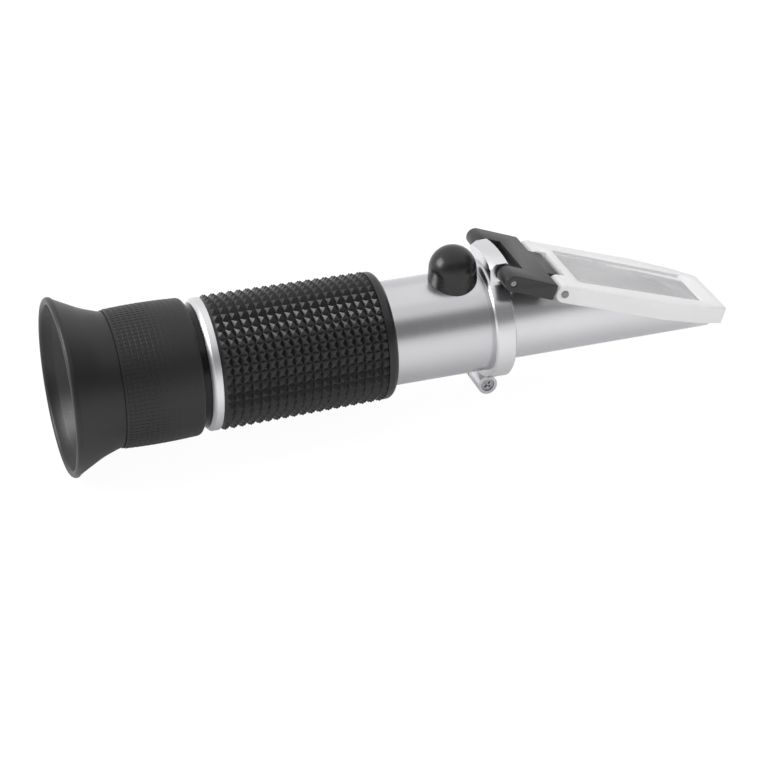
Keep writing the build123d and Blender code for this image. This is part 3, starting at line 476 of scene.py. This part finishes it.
# Geometry Nodes: a field of moulded studs round the axis
def studTree():
    tree = bpy.data.node_groups.new("studField", "GeometryNodeTree")
    tree.interface.new_socket(name="Geometry", in_out="INPUT", socket_type="NodeSocketGeometry")
    for name, kind in (
        ("Columns", "NodeSocketInt"), ("Rows", "NodeSocketInt"),
        ("First Column", "NodeSocketFloat"), ("Pitch", "NodeSocketFloat"),
        ("Foot Radius", "NodeSocketFloat"), ("Crown", "NodeSocketFloat"),
        ("Height", "NodeSocketFloat"),
        ("Foot Along", "NodeSocketFloat"), ("Foot Round", "NodeSocketFloat"),
        ("Top Share", "NodeSocketFloat"), ("Finish", "NodeSocketMaterial"),
    ):
        tree.interface.new_socket(name=name, in_out="INPUT", socket_type=kind)
    tree.interface.new_socket(name="Geometry", in_out="OUTPUT", socket_type="NodeSocketGeometry")
    given = addNode(tree, "NodeGroupInput").outputs
    # a flat grid: x counts the columns, y is the angle round the axis
    gaps = addNode(tree, "ShaderNodeMath", {0: given["Columns"], 1: 1.0}, operation="SUBTRACT")
    long = addNode(tree, "ShaderNodeMath", {
        0: gaps.outputs[0], 1: given["Pitch"],
    }, operation="MULTIPLY")
    steps = addNode(tree, "ShaderNodeMath", {0: given["Rows"], 1: 1.0}, operation="SUBTRACT")
    share = addNode(tree, "ShaderNodeMath", {
        0: steps.outputs[0], 1: given["Rows"],
    }, operation="DIVIDE")
    sweep = addNode(tree, "ShaderNodeMath", {
        0: share.outputs[0], 1: 2 * math.pi,
    }, operation="MULTIPLY")
    grid = addNode(tree, "GeometryNodeMeshGrid", {
        "Size X": long.outputs[0], "Size Y": sweep.outputs[0],
        "Vertices X": given["Columns"], "Vertices Y": given["Rows"],
    })
    flat = addNode(tree, "ShaderNodeSeparateXYZ", {
        0: addNode(tree, "GeometryNodeInputPosition").outputs[0],
    })
    # the middle columns stand further out, by the crown
    half = addNode(tree, "ShaderNodeMath", {0: long.outputs[0], 1: 0.5}, operation="MULTIPLY")
    along = addNode(tree, "ShaderNodeMath", {
        0: flat.outputs["X"], 1: half.outputs[0],
    }, operation="DIVIDE")
    squared = addNode(tree, "ShaderNodeMath", {0: along.outputs[0], 1: 2.0}, operation="POWER")
    inside = addNode(tree, "ShaderNodeMath", {0: 1.0, 1: squared.outputs[0]}, operation="SUBTRACT")
    radius = addNode(tree, "ShaderNodeMath", {
        0: inside.outputs[0], 1: given["Crown"], 2: given["Foot Radius"],
    }, operation="MULTIPLY_ADD")
    cosine = addNode(tree, "ShaderNodeMath", {0: flat.outputs["Y"]}, operation="COSINE")
    sine = addNode(tree, "ShaderNodeMath", {0: flat.outputs["Y"]}, operation="SINE")
    start = addNode(tree, "ShaderNodeMath", {
        0: half.outputs[0], 1: given["First Column"],
    }, operation="ADD")
    placeX = addNode(tree, "ShaderNodeMath", {
        0: flat.outputs["X"], 1: start.outputs[0],
    }, operation="ADD")
    placeY = addNode(tree, "ShaderNodeMath", {
        0: cosine.outputs[0], 1: radius.outputs[0],
    }, operation="MULTIPLY")
    placeZ = addNode(tree, "ShaderNodeMath", {
        0: sine.outputs[0], 1: radius.outputs[0],
    }, operation="MULTIPLY")
    place = addNode(tree, "ShaderNodeCombineXYZ", {
        "X": placeX.outputs[0], "Y": placeY.outputs[0], "Z": placeZ.outputs[0],
    })
    wrapped = addNode(tree, "GeometryNodeSetPosition", {
        "Geometry": grid.outputs["Mesh"], "Position": place.outputs[0],
    })
    # one stud: a four-sided frustum, turned square to the axis
    cone = addNode(tree, "GeometryNodeMeshCone", {
        "Vertices": 4, "Radius Top": given["Top Share"], "Radius Bottom": 1.0,
        "Depth": given["Height"],
    })
    square = addNode(tree, "GeometryNodeTransform", {
        "Geometry": cone.outputs["Mesh"], "Rotation": (0, 0, math.radians(45)),
    })
    halfDiagonal = math.sqrt(0.5)
    sizeX = addNode(tree, "ShaderNodeMath", {
        0: given["Foot Along"], 1: halfDiagonal,
    }, operation="MULTIPLY")
    sizeY = addNode(tree, "ShaderNodeMath", {
        0: given["Foot Round"], 1: halfDiagonal,
    }, operation="MULTIPLY")
    size = addNode(tree, "ShaderNodeCombineXYZ", {
        "X": sizeX.outputs[0], "Y": sizeY.outputs[0], "Z": 1.0,
    })
    stud = addNode(tree, "GeometryNodeTransform", {
        "Geometry": square.outputs[0], "Scale": size.outputs[0],
    })
    lean = addNode(tree, "ShaderNodeSeparateXYZ", {
        0: addNode(tree, "GeometryNodeInputPosition").outputs[0],
    })
    angle = addNode(tree, "ShaderNodeMath", {
        0: lean.outputs["Z"], 1: lean.outputs["Y"],
    }, operation="ARCTAN2")
    tilt = addNode(tree, "ShaderNodeMath", {
        0: angle.outputs[0], 1: math.pi / 2,
    }, operation="SUBTRACT")
    turn = addNode(tree, "ShaderNodeCombineXYZ", {"X": tilt.outputs[0]})
    studs = addNode(tree, "GeometryNodeInstanceOnPoints", {
        "Points": wrapped.outputs[0], "Instance": stud.outputs[0], "Rotation": turn.outputs[0],
    })
    joined = addNode(tree, "GeometryNodeJoinGeometry")
    tree.links.new(studs.outputs[0], joined.inputs[0])
    tree.links.new(given["Geometry"], joined.inputs[0])
    real = addNode(tree, "GeometryNodeRealizeInstances", {0: joined.outputs[0]})
    done = addNode(tree, "GeometryNodeSetMaterial", {
        "Geometry": real.outputs[0], "Material": given["Finish"],
    })
    addNode(tree, "NodeGroupOutput", {0: done.outputs[0]})
    return tree


studField = studTree()


def addStuds(thing, **values):
    modifier = thing.modifiers.new("studs", "NODES")
    modifier.node_group = studField
    for socket in studField.interface.items_tree:
        if socket.in_out == "INPUT" and socket.name in values:
            modifier[socket.identifier] = values[socket.name]
    applyModifiers(thing)


# Eyecup: a soft flared shell over the barrel's nose, with a bead round its mouth
eyecup = {
    "beadCentre": (0.92, 19.77), "bead": 0.9,                       # mm, as (x, radius)
    "beadAngles": (-80, 120), "beadStep": 20,                       # degrees
    "outside": (
        (1.45, 20.35), (2.6, 19.7), (4.6, 18.65), (7.6, 17.15), (10.8, 16.0), (11.9, 15.68),
    ),
    "skirtEnd": 12.38, "skirt": 15.6, "bore": 13.02, "noseFace": 8.5,
    "noseStep": 0.1, "wallEnd": (2.6, 18.3), "wallTurn": (0.4, 0.35),
}


def makeEyecup():
    c = eyecup
    middle = Vector(c["beadCentre"])
    outline = []
    first, last = c["beadAngles"]
    for degrees in range(first, last + 1, c["beadStep"]):
        angle = math.radians(degrees)
        outline.append(middle - c["bead"] * Vector((math.cos(angle), -math.sin(angle))))
    outline += [Vector(p) for p in curveThrough(c["outside"])]
    wallX, wallRadius = c["wallEnd"]
    turnX, turnRadius = c["wallTurn"]
    outline += [Vector(p) for p in (
        (c["skirtEnd"], c["skirt"]), (c["skirtEnd"], c["bore"]), (c["noseFace"], c["bore"]),
        (c["noseFace"], c["bore"] + c["noseStep"]),
        (wallX + turnX, wallRadius - turnRadius), c["wallEnd"],
    )]
    thing = lathe("eyecupShell", [tuple(p) for p in outline])
    dress(thing, "cupRubber")
    ride(thing, "focus_ring", "eyecup")


makeEyecup()
print("eyecup made")

# Focusing sleeve: rubber with small square knobs, plain at both ends
sleeve = {
    "outside": ((12.42, 15.85), (16.5, 16.05), (23.4, 16.16), (29.6, 15.95)),
    "end": 30.8, "round": 1.2, "roundSteps": 6, "footStep": 0.15, "bore": 14.02, "hoodFace": 27.1,
    "hood": 14.3,
    "columns": 13, "rows": 98, "firstKnob": 13.5, "pitch": 1.22, "foot": 15.9, "crown": 0.2,
    "knobHeight": 0.11, "knobAlong": 1.0, "knobRound": 0.84, "topShare": 0.8,
    "segments": 192, "crease": 30,
}


def makeSleeve():
    s = sleeve
    outline = curveThrough(s["outside"])
    lastX, lastRadius = outline[-1]
    for step in range(1, s["roundSteps"] + 1):
        angle = math.pi / 2 * step / s["roundSteps"]
        outline.append((
            lastX + s["round"] * math.sin(angle),
            lastRadius - s["round"] * (1 - math.cos(angle)),
        ))
    outline += [
        (s["end"], s["hood"]), (s["hoodFace"], s["hood"]), (s["hoodFace"], s["bore"]),
        (outline[0][0], s["bore"]), (outline[0][0], outline[0][1] - s["footStep"]),
    ]
    thing = lathe("focusSleeveRibbed", outline, s["segments"])
    addStuds(thing, **{
        "Columns": s["columns"], "Rows": s["rows"], "First Column": s["firstKnob"] * mm,
        "Pitch": s["pitch"] * mm, "Foot Radius": s["foot"] * mm, "Crown": s["crown"] * mm,
        "Height": s["knobHeight"] * mm, "Foot Along": s["knobAlong"] * mm,
        "Foot Round": s["knobRound"] * mm,
        "Top Share": s["topShare"], "Finish": finishes["sleeveRubber"],
    })
    smoothByAngle(thing.data, s["crease"])
    ride(thing, "focus_ring", "focus_sleeve")


makeSleeve()
print("focusing sleeve made")

# End ring: turned, with its chamfer's edges broken
ring = {"start": 32.42, "end": 34.88, "radius": 15.43, "bore": 12.27, "chamfer": 0.85, "edge": 0.12}


def makeRing():
    r = ring
    outline = roundedOutline([
        (r["start"], r["radius"] - r["chamfer"], r["edge"]),
        (r["start"] + r["chamfer"], r["radius"], r["edge"]),
        (r["end"], r["radius"], r["edge"]), (r["end"], r["bore"]), (r["start"], r["bore"]),
    ])
    thing = lathe("endRingTurned", [tuple(p) for p in outline])
    dress(thing, "ringAluminium")
    ride(thing, "tube", "end_ring")


makeRing()


# Daylight plate: a point of the prism's face, that face's fall for each mm along the axis,
# how square to it a polished face stands, and how far above it the polish ends
plate = {"middle": (135.0, 0.0, 0.9), "slope": 0.35, "facing": 0.99, "polishedBelow": 3.9}    # mm


def makePlate():
    # the recess's floor and the underside are polished, all the rest is blasted
    thing = finishedCopy("daylight_plate", "daylightPlateFinished", "milkyAcrylic", "plate", 0.12)
    thing.data.materials.append(finishes["clearAcrylic"])
    slope = plate["slope"]
    across = Vector((slope, 0, 1)).normalized()
    for face in thing.data.polygons:
        if abs(face.normal.dot(across)) < plate["facing"]:
            continue
        height = (face.center / mm - Vector(plate["middle"])).dot(across)
        if height < plate["polishedBelow"]:
            face.material_index = 1


makePlate()

finishedCopy("grip_sleeve", "gripPyramids", "gripRubber", "tube", 0.05, 25, 1)
finishedCopy("focus_seat", "focusSeatFinished", "seatEnamel", "tube", 0.12)
finishedCopy("main_tube", "mainTubeFinished", "tubeAluminium", "tube")
finishedCopy("prism_housing", "prismHousingFinished", "housingAluminium", "tube")
finishedCopy("prism_bezel", "prismBezelFinished", "bezelPlastic", "tube")
finishedCopy("measuring_prism", "measuringPrismFinished", "prismGlass", "tube")
finishedCopy("hinge_collar", "hingeCollarFinished", "collarNickel", "tube", 0.2, 30, 3)
finishedCopy("clamp_screw", "clampScrewFinished", "screwSteel", "tube", 0.05)
# the hinge pin and the plate pin take the darker steel, whose dark tone partly paints the shade of
# their recessed ends
finishedCopy("hinge_pin", "hingePinFinished", "shadedPinSteel", "tube", 0.15)
finishedCopy("calibration_cap", "calibrationCapFinished", "capRubber", "cap")
finishedCopy("hinge_bracket", "hingeBracketFinished", "bracketPlastic", "bracket", 0.12)
finishedCopy("plate_pin", "platePinFinished", "shadedPinSteel", "bracket", 0.1)
finishedCopy("focus_barrel", "focusBarrelFinished", "barrelBlack", "focus_ring")
finishedCopy("carrier_ring", "carrierRingFinished", "innerBlack", "focus_ring")
finishedCopy("lens_cell", "lensCellFinished", "innerBlack", "lens_carrier")
finishedCopy("eye_lens", "eyeLensFinished", "lensGlass", "lens_carrier")
print("machined and moulded pieces finished")

# Pieces inside the tube or under the cap keep their CAD solids
hidden = {
    "pinSteel": ("focus_key",),
    "innerBlack": (
        "reticle_holder", "reticle_ring", "objective_guide", "objective_ring",
        "lens_spacer", "lens_retainer",
    ),
    "lensGlass": ("reticle", "objective_lens", "field_lens"),
    "linerPlastic": ("light_baffle",),
    "tubeAluminium": ("calibration_bush",),
    "brass": ("objective_cell", "calibration_screw"),
}
for finish, names in hidden.items():
    for name in names:
        dress(nodes[name], finish)

# Stage: a pale table that touches the eyecup and the clamp lug, and a soft studio round it
stage = {
    "rest": ((0.6, -20.72), (101.14, -18.02)),   # (x, z) in mm of the two places that touch
    "size": 6.0,                                # m
    "glow": 0.96, "seenTable": "#4a4a4a", "table": "#dcdcdc", "bounce": 0.22,
    "diffuseFrom": -0.2, "diffuseLow": 0.45, "diffuseHigh": 1.0, "skyTop": 0.9,
    "stripAim": (0.0, -0.866, 0.5), "stripFrom": 0.88, "stripTo": 0.985, "stripDark": 0.72,
    "rightAim": (0.996, -0.03, 0.08), "rightFrom": 0.8, "rightTo": 0.93, "rightDark": 0.75,
}


def makeFloor():
    (x0, z0), (x1, z1) = stage["rest"]
    rise = (z1 - z0) / (x1 - x0)
    half = stage["size"] / 2
    mesh = bpy.data.meshes.new("table")
    corners = [(-half, -half), (half, -half), (half, half), (-half, half)]
    mesh.from_pydata([(x, y, z0 * mm + rise * x) for x, y in corners], [], [(0, 1, 2, 3)])
    floor = addObject("table", mesh)
    material, tree = newMaterial("pale table", stage["table"])
    path = addNode(tree, "ShaderNodeLightPath").outputs
    seen = addNode(tree, "ShaderNodeMath", {
        0: path["Is Camera Ray"], 1: path["Is Transmission Ray"],
    }, operation="MAXIMUM")
    matt = addNode(tree, "ShaderNodeBsdfDiffuse", {"Color": hexColour(stage["table"])})
    bounce = addNode(tree, "ShaderNodeEmission", {"Strength": stage["bounce"]})
    lit = addNode(tree, "ShaderNodeAddShader", {0: matt.outputs[0], 1: bounce.outputs[0]})
    seenMatt = addNode(tree, "ShaderNodeBsdfDiffuse", {"Color": hexColour(stage["seenTable"])})
    glow = addNode(tree, "ShaderNodeEmission", {"Strength": stage["glow"]})
    bright = addNode(tree, "ShaderNodeAddShader", {0: seenMatt.outputs[0], 1: glow.outputs[0]})
    mixed = addNode(tree, "ShaderNodeMixShader", {
        0: seen.outputs[0], 1: lit.outputs[0], 2: bright.outputs[0],
    })
    addNode(tree, "ShaderNodeOutputMaterial", {"Surface": mixed.outputs[0]})
    floor.data.materials.append(material)


def makeWorld():
    # white all round for the camera; in reflections, dark behind the camera and on the right
    world = bpy.data.worlds.new("studio")
    scene.world = world
    world.use_nodes = True
    tree = world.node_tree
    tree.nodes.clear()
    path = addNode(tree, "ShaderNodeLightPath").outputs
    direction = addNode(tree, "ShaderNodeTexCoord").outputs["Generated"]
    flat = addNode(tree, "ShaderNodeVectorMath", {0: direction, 1: (0, 1, 1)}, operation="MULTIPLY")
    facing = addNode(tree, "ShaderNodeVectorMath", {0: flat.outputs[0]}, operation="NORMALIZE")
    near = addNode(tree, "ShaderNodeVectorMath", {
        0: facing.outputs[0], 1: stage["stripAim"],
    }, operation="DOT_PRODUCT")
    strip = addNode(tree, "ShaderNodeMapRange", {
        "Value": near.outputs["Value"], "From Min": stage["stripFrom"],
        "From Max": stage["stripTo"],
        "To Min": stage["skyTop"], "To Max": stage["skyTop"] * (1 - stage["stripDark"]),
    }, interpolation_type="SMOOTHSTEP")
    side = addNode(tree, "ShaderNodeSeparateXYZ", {0: direction})
    aside = addNode(tree, "ShaderNodeVectorMath", {
        0: direction, 1: stage["rightAim"],
    }, operation="DOT_PRODUCT")
    right = addNode(tree, "ShaderNodeMapRange", {
        "Value": aside.outputs["Value"], "From Min": stage["rightFrom"],
        "From Max": stage["rightTo"],
        "To Min": 1.0, "To Max": 1 - stage["rightDark"],
    }, interpolation_type="SMOOTHSTEP")
    shade = addNode(tree, "ShaderNodeMath", {
        0: strip.outputs[0], 1: right.outputs[0],
    }, operation="MULTIPLY")
    soft = addNode(tree, "ShaderNodeMapRange", {
        "Value": side.outputs["Z"], "From Min": stage["diffuseFrom"], "From Max": 1.0,
        "To Min": stage["diffuseLow"], "To Max": stage["diffuseHigh"],
    })
    mirrored = addNode(tree, "ShaderNodeMix", {
        "Factor": path["Is Glossy Ray"], "A": soft.outputs[0], "B": shade.outputs[0],
    }, data_type="FLOAT")
    seen = addNode(tree, "ShaderNodeMath", {
        0: path["Is Camera Ray"], 1: path["Is Transmission Ray"],
    }, operation="MAXIMUM")
    strength = addNode(tree, "ShaderNodeMix", {
        "Factor": seen.outputs[0], "A": mirrored.outputs[0], "B": 1.0,
    }, data_type="FLOAT")
    sky = addNode(tree, "ShaderNodeBackground", {
        "Color": (1, 1, 1, 1), "Strength": strength.outputs[0],
    })
    addNode(tree, "ShaderNodeOutputWorld", {"Surface": sky.outputs[0]})


lampAim = (70, 0, 0)    # mm, near the grip's front end
lamps = {               # places and sizes in mm, power in W
    "softboxLeft": {"place": (-600, 120, 425), "size": (440, 380), "power": 3.6},
    "softboxTop": {"place": (120, 260, 620), "size": (1100, 700), "power": 0.4},
}


def makeLamps():
    middle = Vector(lampAim) * mm
    for name, lamp in lamps.items():
        data = bpy.data.lights.new(name, "AREA")
        data.shape = "RECTANGLE"
        data.size, data.size_y = lamp["size"][0] * mm, lamp["size"][1] * mm
        data.energy = lamp["power"]
        thing = bpy.data.objects.new(name, data)
        place = Vector(lamp["place"]) * mm
        turn = (place - middle).to_track_quat("Z", "Y").to_matrix().to_4x4()
        thing.matrix_world = Matrix.Translation(place) @ turn
        scene.collection.objects.link(thing)


makeFloor()
makeWorld()
makeLamps()
print("stage made")
